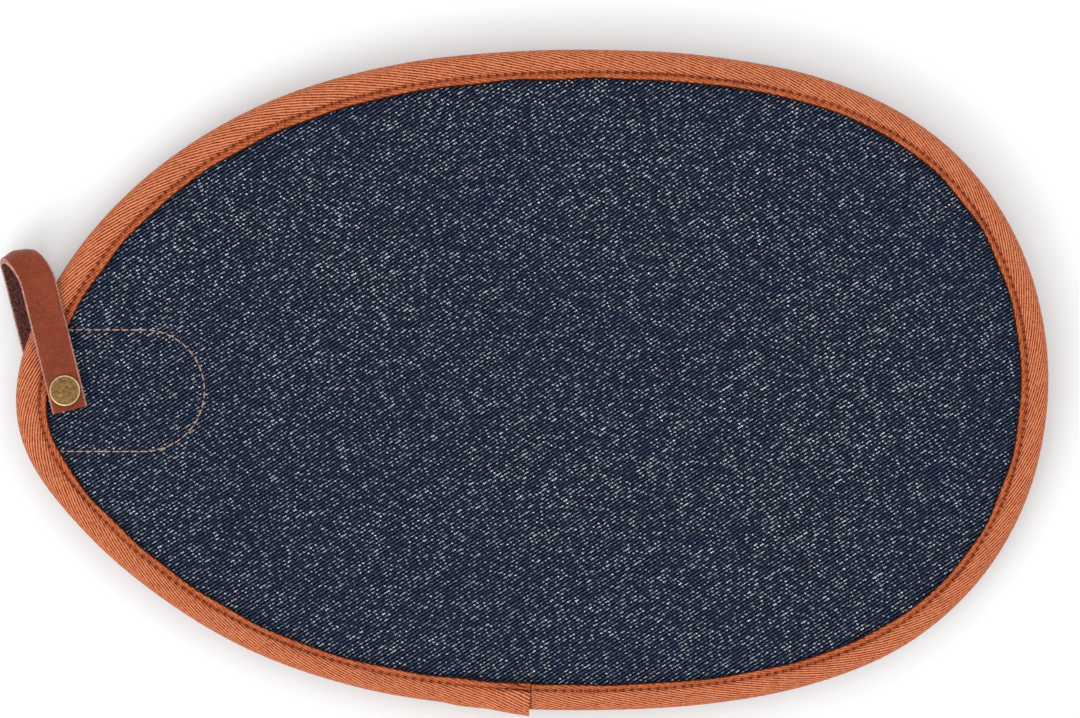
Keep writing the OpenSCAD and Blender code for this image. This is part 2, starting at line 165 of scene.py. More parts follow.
# %% A material with a principled shader
class Finish:
    """A material. It starts with a shader whose fixed sockets are given by name."""

    def __init__(self, name, **fixed):
        self.material = bpy.data.materials.new(name)
        self.material.use_nodes = True
        self.tree = self.material.node_tree
        self.shader = self.tree.nodes["Principled BSDF"]
        for socket, value in fixed.items():
            self.shader.inputs[socket.replace("_", " ")].default_value = value

    def node(self, kind, settings=(), inputs=(), output=0):
        """Makes a node: its settings first, then what goes into its sockets, and gives back one output."""
        made = self.tree.nodes.new(kind)
        for name, value in dict(settings).items():
            setattr(made, name, value)
        for key, value in (inputs.items() if isinstance(inputs, dict) else enumerate(inputs)):
            self.feed(made.inputs[key], value)
        return Value(self, made.outputs[output])

    def feed(self, socket, value):
        if isinstance(value, Value):
            self.tree.links.new(value.socket, socket)
        else:
            socket.default_value = value

    def ramp(self, amount, stops):
        """A colour that runs through the stops, each of which is a place and a colour."""
        made = self.tree.nodes.new("ShaderNodeValToRGB")
        ramp = made.color_ramp
        for place, colour in stops[1:-1]:
            ramp.elements.new(place)
        for element, (place, colour) in zip(ramp.elements, stops):
            element.position, element.color = place, (*colour, 1)
        self.feed(made.inputs[0], amount)
        return Value(self, made.outputs[0])

    def blend(self, amount, first, second):
        """Mixes two colours: the first where amount is 0, the second where it is 1."""
        made = self.tree.nodes.new("ShaderNodeMix")
        made.data_type = "RGBA"
        for socket, value in zip((0, 6, 7), (amount, first, second)):
            self.feed(made.inputs[socket], value if isinstance(value, (Value, float, int)) else (*value, 1))
        return Value(self, made.outputs[2])

    def place(self):
        """Object coordinates in millimetres, as three values."""
        return self.split(self.node("ShaderNodeTexCoord", output="Object"), 1 / MM)

    def cloth_place(self):
        """The piece's own flat coordinates, which are in millimetres."""
        return self.split(self.node("ShaderNodeUVMap", {"uv_map": "cloth"}), 1)[:2]

    def split(self, vector, scale):
        parts = self.tree.nodes.new("ShaderNodeSeparateXYZ")
        self.feed(parts.inputs[0], vector)
        return [Value(self, out) * scale for out in parts.outputs]

    def vector(self, x, y, z=0.0):
        return self.node("ShaderNodeCombineXYZ", (), [x, y, z])

    def noise(self, vector, scale, detail=2.0, roughness=0.5):
        """Cloudy noise with features about 1 / scale across, in the units of the vector."""
        return self.node("ShaderNodeTexNoise", (), {
            "Vector": vector, "Scale": scale, "Detail": detail, "Roughness": roughness})

    def random(self, vector):
        """An unrelated number from 0 to 1 for every vector."""
        return self.node("ShaderNodeTexWhiteNoise", {"noise_dimensions": "3D"}, {"Vector": vector})

    def finish(self, colour, height, depth, roughness=None):
        """Feeds the shader. The height, 0 to 1, becomes a bump that is depth millimetres deep."""
        self.feed(self.shader.inputs["Base Color"], colour)
        if roughness is not None:
            self.feed(self.shader.inputs["Roughness"], roughness)
        bump = {"Strength": 1.0, "Distance": depth * MM, "Height": height}
        self.feed(self.shader.inputs["Normal"], self.node("ShaderNodeBump", (), bump))
        return self.material


# %% [markdown]
# ### Denim
# Denim is a twill. Dark indigo warp threads cover it, and the undyed weft peeps out between them in short
# pale dashes, which line up in steep diagonal rows. A second set of lines, nearly square to the rows, cuts
# them into dashes, and a random number per dash makes most of them faint and a few nearly white.

# %% Denim
TWILL_TURN, TWILL_PITCH = np.radians(32), 1.11
DASH_TURN, DASH_PITCH = np.radians(54), 0.61


def turned(x, y, angle):
    """The coordinates along and across a direction."""
    return x * np.cos(angle) + y * np.sin(angle), y * np.cos(angle) - x * np.sin(angle)


def denim(name, dark=(0.0003, 0.0009, 0.0045), light=(0.019, 0.033, 0.081), weft=(0.82, 0.89, 1.0)):
    cloth = Finish(name, Roughness=1.0, Specular_IOR_Level=0.0)
    x, y = cloth.cloth_place()
    wander = cloth.noise(cloth.vector(x, y), 0.6, 1.0) - 0.5
    jitter = cloth.noise(cloth.vector(x, y, 4.0), 1.9, 1.0) - 0.5
    along, across = turned(x + wander * 0.3, y + wander * 0.4, TWILL_TURN)
    row = across / TWILL_PITCH + jitter * 0.5
    cell = turned(x, y, DASH_TURN)[0] / DASH_PITCH + wander * 0.8
    chance = cloth.random(cloth.vector(row.floor(), cell.floor(), 3.0))
    from_middle = (row.fract() - 0.5).size()
    thread = from_middle.step(0.30, 0.06)
    dash = (cell.fract() - 0.5).size().step(0.48, 0.20)
    clouds = cloth.noise(cloth.vector(x, y * 1.3), 0.17, 3.0, 0.65)
    slow = cloth.noise(cloth.vector(x, y, 9.0), 0.015, 1.0)
    bold = (clouds.step(0.34, 0.66) * 0.5 + 0.5) * (slow * 0.7 + 0.65)
    mark = thread * dash * (chance.power(4.5) * 0.95 + 0.07) * bold
    fuzz = cloth.noise(cloth.vector(along * 0.8, across), 2.6, 2.0, 0.7).step(0.32, 0.70)
    warp = cloth.noise(cloth.vector(x * 3.0, y * 0.12), 0.9, 2.0)
    shadow = (from_middle.step(0.46, 0.15) * 0.9 + 0.1) * (dash * 0.6 + 0.4) * (1.4 - chance) * (1.8 - bold)
    tone = (fuzz * 0.7 + 0.2) * (warp * 0.7 + 0.6) * shadow
    colour = cloth.blend(mark, cloth.blend(tone, dark, light), weft)
    return cloth.finish(colour, height=thread * 0.5 + mark * 0.4 + fuzz * 0.3, depth=0.12)


DENIM_FINISH = denim("denim")

# %% [markdown]
# ### Twill tape, lining and wadding
# The binding is a finer cotton twill cut on the bias. Its coordinates run along the tape and across it,
# so its diagonal follows the rim. Painted shade darkens the seam's needle holes and its groove, and a
# near-black line of painted shade lies in the gap under each of the tape's inner edges. Where the tape's
# end laps over its start, its inner edge is bunched into creases that painted shade darkens, and a thin
# painted shadow lies where the tape's start comes out from under the lap.

# %% Twill tape
TAPE_TWILL_TURN = np.radians(16)
TAPE_TWILL_PITCH = 0.86
STITCH_PITCH = 2.85
TAPE_COLOURS = [(0.0, (0.14, 0.012, 0.002)), (0.6, (0.465, 0.108, 0.037)), (1.0, (0.71, 0.27, 0.138))]


def twill_tape(name, seam_across, width, join=None):
    """The seam lies seam_across in from both edges of a tape that is width mm wide when flat. join says how
    far along the tape its start comes out from under the lap, and where the lap ends."""
    cloth = Finish(name, Roughness=0.9, Specular_IOR_Level=0.12)
    x, y = cloth.cloth_place()
    wander = cloth.noise(cloth.vector(x * 0.3, y), 0.5, 1.0) - 0.5
    along, across = turned(x, y + wander * 0.5, TAPE_TWILL_TURN)
    row = across / TAPE_TWILL_PITCH
    rib = row.wave()
    chance = cloth.random(cloth.vector(row.floor(), (along / 0.5).floor(), 2.0))
    clouds = cloth.noise(cloth.vector(x * 0.5, y), 0.35, 2.0, 0.6)
    fuzz = cloth.noise(cloth.vector(along * 0.5, across), 3.2, 2.0, 0.7)
    from_edge = width / 2 - (y - width / 2).size()
    seam = (from_edge - seam_across).size()
    lip = from_edge.step(seam_across, seam_across - 0.8)
    clear = 1 - lip * 0.55
    tone = (rib - 0.5) * clear * 0.95 + chance * 0.30 + fuzz * 0.4 + clouds * 0.35 + 0.07 - lip * 0.1
    near_hole = ((x / STITCH_PITCH + fuzz * 0.25).fract() - 0.5).size().step(0.28, 0.46)
    hole = near_hole * (seam + fuzz * 0.7).step(1.25, 0.5)
    # Painted shade in the needle holes and along the seam's groove.
    shade = (1 - hole * 0.7) * (1 - seam.step(1.3, 0.0) * 0.25)
    # Painted shade: a near-black line along both inner edges, in the gap under the tape, and in the needle
    # holes.
    painted_shade_mask = (from_edge + (fuzz - 0.5) * 0.35).step(0.8, 0.4).at_least(hole * 0.6)
    if join:
        # Painted shade in the bunched creases of the lap, and a painted shadow where the tape's start comes
        # out from under the lap.
        waves = (from_edge * 0.8 - (x - join[1]) * 0.13 + wander * 1.8).wave().power(2.0)
        creases = waves * x.step(join[1] - 15, join[1] - 7) * from_edge.step(4.4, 3.4)
        painted_shade_mask = painted_shade_mask.at_least(creases * 0.85).at_least(x.step(join[0] + 0.8, join[0] + 0.1) * 0.7)
    colour = cloth.ramp(tone * shade, TAPE_COLOURS)
    colour = cloth.blend(painted_shade_mask * 0.96, colour, (0.016, 0.003, 0.001))
    return cloth.finish(colour, height=rib * clear * 0.6 + fuzz * 0.4 - hole * 0.8, depth=0.18)


# %% Lining, wadding and thread
def plain_weave(name, dark, light, pitch):
    """Two sets of threads over and under each other, in the piece's own flat coordinates."""
    cloth = Finish(name, Roughness=0.9, Specular_IOR_Level=0.1)
    x, y = cloth.cloth_place()
    warp, weft = (x / pitch).wave(), (y / pitch).wave()
    clouds = cloth.noise(cloth.vector(x, y), 0.2, 3.0)
    fuzz = cloth.noise(cloth.vector(x, y), 2.5, 2.0)
    tone = warp * 0.25 + weft * 0.25 + clouds * 0.4 + fuzz * 0.3 - 0.1
    return cloth.finish(cloth.blend(tone, dark, light), height=warp * 0.5 + weft * 0.5, depth=0.1)


def felted(name, dark, light):
    """Matted fibres without any direction."""
    cloth = Finish(name, Roughness=0.95, Specular_IOR_Level=0.1)
    x, y, z = cloth.place()
    tuft = cloth.noise(cloth.vector(x, y, z), 0.5, 4.0, 0.7)
    return cloth.finish(cloth.blend(tuft, dark, light), height=tuft, depth=0.5)


def sewing_thread(name, dark, light):
    """Twisted thread: fine slanted bands along each stitch."""
    thread = Finish(name, Roughness=0.7, Specular_IOR_Level=0.2)
    x, y = thread.cloth_place()
    ply = (x / 0.55 + y * 0.9).wave()
    return thread.finish(thread.blend(ply * 0.7 + 0.15, dark, light), height=ply, depth=0.06)


LINING_FINISH = plain_weave("lining", (0.014, 0.018, 0.03), (0.055, 0.066, 0.095), 0.5)
WADDING_FINISH = felted("wadding", (0.40, 0.37, 0.32), (0.72, 0.70, 0.64))
THREAD_FINISH = sewing_thread("rust_thread", (0.10, 0.019, 0.007), (0.30, 0.075, 0.028))
PATCH_THREAD_FINISH = sewing_thread("tan_thread", (0.20, 0.10, 0.065), (0.62, 0.40, 0.29))


# %% [markdown]
# ### Leather and brass
# Vegetable-tanned leather has three faces: a smooth red-brown grain side with fine pores, a rough dark
# flesh side, and paler cut edges. The attribute `face` says which one a point lies on: 0, 1 or 2.

# %% Leather
def leather(name, grain_dark=(0.10, 0.012, 0.003), grain_light=(0.33, 0.056, 0.014)):
    hide = Finish(name, Specular_IOR_Level=0.26)
    x, y, z = hide.place()
    point = hide.vector(x, y, z)
    face = Value(hide, hide.node("ShaderNodeAttribute", {"attribute_name": "face"}, output="Fac").socket)
    cut = face.step(1.35, 1.75)
    flesh = face.step(0.35, 0.65) * (1 - cut)
    clouds = hide.noise(point, 0.16, 3.0, 0.6)
    pores = hide.noise(point, 1.5, 3.0, 0.65)
    fibres = hide.noise(point, 1.3, 4.0, 0.75)
    grain = hide.blend(clouds * 0.8 + pores.step(0.25, 0.75) * 0.5 - 0.19, grain_dark, grain_light)
    suede = hide.blend(fibres.step(0.36, 0.66), (0.018, 0.005, 0.005), (0.17, 0.055, 0.045))
    edge = hide.blend(fibres.step(0.3, 0.7), (0.22, 0.065, 0.042), (0.60, 0.32, 0.26))
    colour = hide.blend(cut, hide.blend(flesh, grain, suede), edge)
    roughness = 0.42 + pores * 0.14 + (flesh + cut) * 0.4
    height = pores * (1 - flesh) * 0.35 + fibres * flesh
    return hide.finish(colour, height, 0.22, roughness)


LEATHER_FINISH = leather("red_brown_leather")


# %% Antique brass
def antique_brass(name):
    metal = Finish(name, Metallic=1.0)
    x, y, z = metal.place()
    point = metal.vector(x, y, z)
    clouds = metal.noise(point, 0.9, 3.0, 0.7)
    radius = ((x - RIVET[0]) * (x - RIVET[0]) + (y - RIVET[1]) * (y - RIVET[1])).power(0.5)
    rim = radius.step(4.45, 4.75) * (1 - radius.step(4.9, 5.1))
    # Random mottle, plus a painted highlight: the rolled rim is lightened all round.
    mottle_and_rim_highlight = (clouds.step(0.3, 0.75) * 0.32 + rim * 0.7).at_most(1.0)
    colour = metal.blend(mottle_and_rim_highlight, (0.155, 0.074, 0.022), (0.74, 0.53, 0.26))
    scratches = metal.noise(metal.vector(x * 6.0, y, z), 1.5, 2.0)
    roughness = 0.44 - rim * 0.16 + scratches * 0.1
    return metal.finish(colour, scratches, 0.02, roughness)


BRASS_FINISH = antique_brass("antique_brass")

# %% [markdown]
# ## The outline
# The mitt's edge is an ellipse whose width is scaled by a quartic, which leans it into an egg. Everything
# else is laid out from it: a point is given by its angle round the egg and by how far inside the edge it
# lies, measured square to the edge. An angle of 0 is the thumb tip, and angles grow towards +Y.

# %% Egg
EGG = (1, 0.06, 0.175, 0.175, -0.14)
TIP_DROP, TIP_DROP_POWER = -2 * RIVET[1], 8.5


def edge(angle):
    """x is half the length times minus the cosine. y is the sine times half the width times a quartic in
    the cosine, and near the thumb tip it drops by a high power of the cosine."""
    u = -np.cos(angle)
    quartic = sum(term * u**power for power, term in enumerate(EGG))
    drop = -TIP_DROP * np.clip(-u, 0, 1) ** TIP_DROP_POWER
    return np.stack([HALF_LENGTH * u, drop + HALF_WIDTH * np.sin(angle) * quartic], -1)


HALF_WIDTH = 1.0
ROUND = np.linspace(0, 2 * np.pi, 1441)
HALF_WIDTH = finger_tape[1][1] / edge(ROUND)[:, 1].max()


def inset(angle, distance):
    """The point this far inside the edge, along the edge's normal."""
    tangent = edge(angle + 0.004) - edge(angle - 0.004)
    normal = np.stack([tangent[..., 1], -tangent[..., 0]], -1)
    normal /= np.linalg.norm(normal, axis=-1, keepdims=True)
    return edge(angle) + normal * np.expand_dims(distance, -1)


def length_along(path):
    """How far along a path each of its points lies from the first."""
    steps = np.linalg.norm(np.diff(path, axis=0), axis=1)
    return np.concatenate([[0], np.cumsum(steps)])


EDGE_POINTS = edge(ROUND)
print(f"widest {2 * HALF_WIDTH:.1f} mm, rim {length_along(EDGE_POINTS)[-1]:.0f} mm round")


# %% [markdown]
# Distances and slow unevenness are needed for every cloth. The distance of a point from the rim is that to
# the nearest of many points on it. Unevenness is a sum of a few sine waves in directions drawn once, with
# a seed, so that each run gives the same mitt.

# %% Distances and unevenness
def rim_distance(points):
    """Distance in the plane to the nearest point of the edge, a few hundred points at a time."""
    flat = points[..., :2].reshape(-1, 2)
    groups = np.array_split(flat, max(1, len(flat) // 2000))
    nearest = [np.sqrt(((g[:, None] - EDGE_POINTS[None, ::2]) ** 2).sum(-1).min(1)) for g in groups]
    return np.concatenate(nearest).reshape(points.shape[:-1])


def smooth(amount):
    """A smooth step: 0 up to 0, 1 from 1, and three squares minus two cubes between."""
    t = np.clip(amount, 0, 1)
    return t * t * (3 - 2 * t)


def bump_at(values, centre, half_width):
    """1 at the centre, falling smoothly to 0 at half_width on both sides."""
    return smooth(1 - np.abs(values - centre) / half_width)


def unevenness(x, y, wavelength, seed):
    """Eight sine waves of about one wavelength, in directions and phases drawn from a seed, summed and
    divided by the root of eight."""
    draw = np.random.default_rng(seed)
    turns, phases = draw.uniform(0, 2 * np.pi, (2, 8))
    lengths = wavelength * draw.uniform(0.7, 1.5, 8)
    total = 0.0
    for turn, phase, length in zip(turns, phases, lengths):
        total = total + np.sin((x * np.cos(turn) + y * np.sin(turn)) * 2 * np.pi / length + phase)
    return total / 8**0.5


def curve_through(points, count):
    """A smooth curve through a few points: on each span, the cubic whose slope at a point is that between
    its two neighbours (Catmull-Rom)."""
    p = np.array(points, float)
    p = np.vstack([2 * p[0] - p[1], p, 2 * p[-1] - p[-2]])
    place = np.linspace(0, len(points) - 1, count)
    span = np.minimum(place.astype(int), len(points) - 2)
    t = (place - span)[:, None]
    a, b, c, d = (p[span + k] for k in range(4))
    return 0.5 * (2 * b + (c - a) * t + (2 * a - 5 * b + 4 * c - d) * t**2 + (3 * b - a - 3 * c + d) * t**3)


# %% [markdown]
# ## Meshes from grids
# Every piece is a grid of points. A sheet of cloth with a thickness is two skins over one grid, closed
# round their rim. A tape, thread or strap is one closed section carried along a path. Each vertex keeps
# its flat place on the cloth, in millimetres, which the weaves read, so that they bend with the cloth.

# %% From grids to meshes
def new_mesh(name, points, faces, corners, material):
    """Makes an object of quads from points in millimetres; corners are its flat places, per face corner."""
    mesh = bpy.data.meshes.new(name)
    mesh.vertices.add(len(points))
    mesh.vertices.foreach_set("co", (points * MM).astype(np.float32).ravel())
    mesh.loops.add(faces.size)
    mesh.loops.foreach_set("vertex_index", faces.astype(np.int32).ravel())
    mesh.polygons.add(len(faces))
    mesh.polygons.foreach_set("loop_start", np.arange(0, faces.size, 4, dtype=np.int32))
    mesh.polygons.foreach_set("use_smooth", np.ones(len(faces), bool))
    layer = mesh.uv_layers.new(name="cloth")
    layer.uv.foreach_set("vector", corners.astype(np.float32).ravel())
    mesh.update(calc_edges=True)
    mesh.validate()
    mesh.materials.append(material)
    thing = bpy.data.objects.new(name, mesh)
    bpy.context.scene.collection.objects.link(thing)
    print(f"{name}: {len(mesh.vertices)} vertices, {2 * len(mesh.polygons)} triangles")
    return thing


def quads(rows, columns, wrap=False):
    """The four grid places (row, column) of every cell, counter-clockwise from above."""
    r, c = np.meshgrid(np.arange(rows - 1), np.arange(columns - (0 if wrap else 1)), indexing="ij")
    r, c = r.ravel(), c.ravel()
    return np.stack([r, r + 1, r + 1, r], 1), np.stack([c, c, c + 1, c + 1], 1)


def slab(name, upper, lower, flat, material):
    """A closed piece between two skins over one grid, with sharp rims. Rows run towards +X and columns
    towards +Y when it is seen from above."""
    rows, columns = upper.shape[:2]
    r, c = quads(rows, columns)
    top = r * columns + c
    count = rows * columns
    low = top[:, ::-1] + count
    ring = np.concatenate([
        np.arange(columns), np.arange(1, rows) * columns + columns - 1,
        (rows - 1) * columns + np.arange(columns - 2, -1, -1), np.arange(rows - 2, 0, -1) * columns])
    after = np.roll(ring, -1)
    wall = np.stack([ring, after, after + count, ring + count], 1)
    faces = np.concatenate([top, low, wall])
    places = np.concatenate([flat.reshape(-1, 2)] * 2)
    points = np.concatenate([upper.reshape(-1, 3), lower.reshape(-1, 3)])
    thing = new_mesh(name, points, faces, places[faces], material)
    sharp_rim(thing)
    return thing


def sharp_rim(thing, angle=50):
    """Keeps edges sharper than an angle in degrees unsmoothed."""
    thing.data.set_sharp_from_angle(angle=np.radians(angle))


def sweep(name, rings, along, round_section, material):
    """A closed section carried along a path: ring k holds the section's points at place k. along is each
    ring's flat place, and round_section that of each section point and, last, of its closing point."""
    count, n = rings.shape[:2]
    points = np.concatenate([rings.reshape(-1, 3), [rings[0].mean(0), rings[-1].mean(0)]])
    r, c = quads(count, n, wrap=True)
    corners = np.stack([np.asarray(along)[r], np.asarray(round_section)[c]], -1)
    i = np.arange(0, n, 2)
    first = np.stack([np.full(len(i), len(points) - 2), (i + 2) % n, (i + 1) % n, i], 1)
    last = np.stack([np.full(len(i), len(points) - 1), i, (i + 1) % n, (i + 2) % n], 1)
    last[:, 1:] += (count - 1) * n
    faces = np.concatenate([r * n + c % n, first, last])
    middle = np.mean(round_section)
    ends = np.repeat([[[along[0], middle]], [[along[-1], middle]]], len(i), axis=0) + np.zeros((1, 4, 1))
    return new_mesh(name, points, faces, np.concatenate([corners, ends]), material)


FOLD_REACH = 13.0


def bend_over_fold(thing, *nodes, slot):
    """The piece's transform is baked into its mesh, and it stands for these nodes, which are hidden."""
    (FOLD_X + FOLD_REACH) * MM
    (FOLD_X - FOLD_REACH) * MM
    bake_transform(thing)
    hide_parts(*nodes)


# %% [markdown]
# ## The palm wall
# The face you see is one sheet of denim over wadding and lining. It has no quilting: the binding's seam
# pulls it down all round, and the wadding lifts it again a finger's width inside. A square grid is pressed
# into the egg, which gives even quads and no pole in the middle, where a fan of triangles would pinch.

# %% A grid in the shape of the egg
def egg_grid(rows, columns):
    """A square from -1 to 1 both ways becomes a disc, by x sqrt(1 - y*y/2) and y sqrt(1 - x*x/2). The
    disc's angle becomes the egg's angle, and its radius the share of the way from the middle to the rim."""
    u, v = np.meshgrid(np.linspace(-1, 1, rows), np.linspace(-1, 1, columns), indexing="ij")
    x, y = u * np.sqrt(1 - v * v / 2), v * np.sqrt(1 - u * u / 2)
    radius = np.hypot(x, y)
    angle = np.arctan2(y, -x)
    rim = inset(angle, np.full(angle.shape, CLOTH_MARGIN))
    return rim * radius[..., None]


TAPE_WIDTH = 10.0
TAPE = 0.85
# The other cloths end this far inside the rim, just clear of the tape
CLOTH_MARGIN = TAPE + 0.4
SEAM_FROM_EDGE = 7.6
PATCH_RADIUS = (PATCH_HIGH[1] - PATCH_LOW[1]) / 2
PATCH_SEAM_IN = 2.8
PATCH_SEAM_RADIUS = PATCH_RADIUS - PATCH_SEAM_IN
PATCH_X = PATCH_HIGH[0] - PATCH_SEAM_RADIUS - PATCH_SEAM_IN
PATCH_U_START = PATCH_LOW[0] + 3.5


def tape_stretch(angles):
    """The tape is sewn on by eye: widest on the thumb's upper side, narrowest on the lower edge. This is its
    width over its mean one, as two slow waves of the angle."""
    wide = np.cos(angles - np.radians(50))
    return 0.96 + 0.09 * wide + 0.04 * np.cos(2 * (angles - np.radians(20)))


def patch_seam_distance(points):
    """Distance from the U of the patch's seam: from its two straight lines, or from its round end."""
    x, y = points[..., 0] - PATCH_X, points[..., 1] - RIVET[1]
    round_end = np.abs(np.hypot(np.maximum(x, 0), y) - PATCH_SEAM_RADIUS)
    return round_end + np.maximum(PATCH_U_START - points[..., 0], 0)


def palm_lift(points, distance):
    """How far the face stands above its seam: it rises over 14 mm from the binding's inner edge, has slow
    waves, and is pulled down along the patch's seam."""
    angle = np.arctan2(points[..., 1] / HALF_WIDTH, -points[..., 0] / HALF_LENGTH)
    past_tape = distance - TAPE_WIDTH * tape_stretch(angle)
    rise = 0.55 * smooth((past_tape + 1.5) / 14) - 0.3 * np.exp(-((past_tape / 1.4) ** 2))
    waves = 0.16 * unevenness(points[..., 0], points[..., 1], 46, 3) * smooth((distance - 16) / 20)
    groove = 0.34 * np.exp(-((patch_seam_distance(points) / 0.9) ** 2))
    return rise + waves - groove


def palm_layer(name, rows, columns, top, bottom, follow, material, *nodes, slot):
    """One layer of the palm wall; follow is how much of the face's lift its two skins take."""
    flat = egg_grid(rows, columns)
    lift = palm_lift(flat, rim_distance(flat))
    upper = np.dstack([flat, top + follow[0] * lift])
    lower = np.dstack([flat, bottom + follow[1] * lift])
    thing = slab(name, upper, lower, flat, material)
    bend_over_fold(thing, *nodes, slot=slot)
    return thing


# %% Face, wadding and lining
face_panel = palm_layer(
    "face_panel", 220, 170, FACE_Z, FACE_Z - DENIM, (1, 0.9), DENIM_FINISH,
    "face_panel_fingers", "face_panel_thumb", slot="denim")
palm_wadding = palm_layer(
    "palm_wadding", 90, 70, FACE_Z - DENIM - 0.06, PALM_WADDING_Z + 0.04, (0.86, 0), WADDING_FINISH,
    "palm_wadding_fingers", "palm_wadding_thumb", slot="wadding")
palm_lining = palm_layer(
    "palm_lining", 110, 84, PALM_WADDING_Z, PALM_LINING_Z, (0, 0), LINING_FINISH,
    "palm_lining_fingers", "palm_lining_thumb", slot="lining")

# %% [markdown]
# ## The edge binding
# A bias-cut twill tape is folded round the rim and sewn through all layers with one seam. It is one strip:
# it starts at the join, runs all the way round, and its folded end laps over its own start. Its section
# has a thin lip, a groove where the seam pulls it down, and a full, round outer part.

# %% The tape's section
# Each pair is the distance inside the edge and the height above the rim's flat top
TAPE_TOP = [
    (10.0, -0.16), (9.6, 0.08), (8.9, 0.16), (8.2, -0.04), (7.6, -0.42), (7.0, -0.06), (6.0, 0.26),
    (4.6, 0.40), (3.2, 0.30), (1.8, -0.12), (0.85, -0.95), (0.22, -2.3), (0.0, -3.9)]


def tape_section(count):
    """The outer skin from the inner edge on the face, round the rim, to the inner edge underneath."""
    top = [(d, HALF_HEIGHT + h) for d, h in TAPE_TOP]
    under = [(d, -z) for d, z in reversed(top)]
    return curve_through(top + under, count)


def section_normals(section):
    """Outward normals of an open section, from the differences of its points."""
    t = np.gradient(section, axis=0)
    normal = np.stack([-t[:, 1], t[:, 0]], 1)
    return -normal / np.linalg.norm(normal, axis=1, keepdims=True)


# %% The tape round the rim
LAP = LAP_END_X - LAP_START_X
# The lap lies this far out, and the tape's start this far in under it. Over its last stretch it swings out.
LAP_OUT, START_IN = 0.55, 0.35
SWING_LENGTH, SWING = 14, 1.75


def tape_angles(count):
    """Angles at even steps along the rim, from the tape's start to the end of its lap, once round and on."""
    start = 2 * np.pi - np.arccos(-LAP_START_X / HALF_LENGTH)
    end = -np.arccos(-LAP_END_X / HALF_LENGTH)
    fine = np.linspace(start, end, 4000)
    far = length_along(edge(fine))
    along = np.linspace(0, far[-1], count)
    return np.interp(along, far, fine), along


TAPE_LENGTH = tape_angles(2)[1][-1]


def lap_folds(s, d):
    """The tape's folded end is bunched along its inner edge: waves nearly along the tape, from -1 to 1."""
    bunched = smooth((s - TAPE_LENGTH + 14) / 8) * smooth((d - 5.8) / 1.4)
    return bunched * np.sin((d + 0.16 * (s - TAPE_LENGTH)) * 3.4 + unevenness(s, d, 7, 8))


def tape_points(angles, along, section, normals):
    """The section at every angle. The lap lies over the start, which is drawn in under it, and the lap's
    outer corner swings out towards its end. The groove dips at every needle hole, and width and fullness
    vary a little."""
    s, d = along[:, None], section[None, :, 0]
    on_lap = smooth((s - (TAPE_LENGTH - LAP - 7)) / 7)
    under_lap = 1 - smooth((s - LAP + 2.5) / 3)
    to_end = np.clip((s - TAPE_LENGTH + SWING_LENGTH) / SWING_LENGTH, 0, 1)
    out = on_lap * LAP_OUT - under_lap * START_IN + 0.06 * unevenness(s, 0 * s, 38, 11)
    outer = smooth((8 - d) / 6)
    inner = smooth((d - 8) / 2)
    hole = 0.5 + 0.5 * np.cos(2 * np.pi * s / STITCH_PITCH)
    tug = 0.13 * hole * bump_at(d, SEAM_FROM_EDGE, 1.3)
    fullness = 0.10 * unevenness(s, 0 * s, 17, 5) * bump_at(d, 4.2, 3.4)
    lift = out + fullness - tug + 0.3 * lap_folds(s, d)
    distance = d * tape_stretch(angles)[:, None] + 0.22 * inner * unevenness(s, 0 * s, 24, 21)
    distance = distance + 0.18 * inner * hole + lift * normals[None, :, 0] - SWING * to_end * outer
    height = section[None, :, 1] + lift * normals[None, :, 1]
    plan = inset(np.broadcast_to(angles[:, None], distance.shape), distance)
    return np.dstack([plan, RIM_MIDDLE + height])


def tape_rings(count, outer_count, inner_count):
    """Outer skin, then back along a coarser inner skin one tape's thickness inside it."""
    angles, along = tape_angles(count)
    outer = tape_section(outer_count)
    inner = tape_section(inner_count)
    inner_normals = section_normals(inner)
    shrunk = inner - inner_normals * TAPE
    shrunk[[0, -1], 0] = TAPE_WIDTH
    skin = tape_points(angles, along, outer, section_normals(outer))
    back = tape_points(angles, along, shrunk, inner_normals)[:, ::-1]
    return np.concatenate([skin, back], 1), along, length_along(outer)


OUTER_POINTS, INNER_POINTS = 44, 14
rings, tape_along, tape_across = tape_rings(1500, OUTER_POINTS, INNER_POINTS)
face_half = slice(OUTER_POINTS // 2)
in_from_lip = TAPE_WIDTH - tape_section(OUTER_POINTS)[face_half, 0]
SEAM_ACROSS = float(np.interp(TAPE_WIDTH - SEAM_FROM_EDGE, in_from_lip, tape_across[face_half]))
flat_across = np.concatenate([tape_across, np.linspace(tape_across[-1], 0, INNER_POINTS), [0.0]])
TAPE_FINISH = twill_tape("rust_twill", SEAM_ACROSS, float(tape_across[-1]), (LAP, TAPE_LENGTH))
edge_binding = sweep("edge_binding", rings, tape_along, flat_across, TAPE_FINISH)
bend_over_fold(edge_binding, "edge_binding_fingers", "edge_binding_thumb", "binding_lap", slot="binding_tape")

# %% [markdown]
# ## Stitches
# Lockstitches show as short threads that rise from one needle hole and dive into the next. Each is a
# tapered capsule, arched a little, and all the stitches of a seam are one piece.

# %% Many stitches at once
STITCH_RINGS, STITCH_SIDES = 7, 6
STITCH_ARCH = 0.22


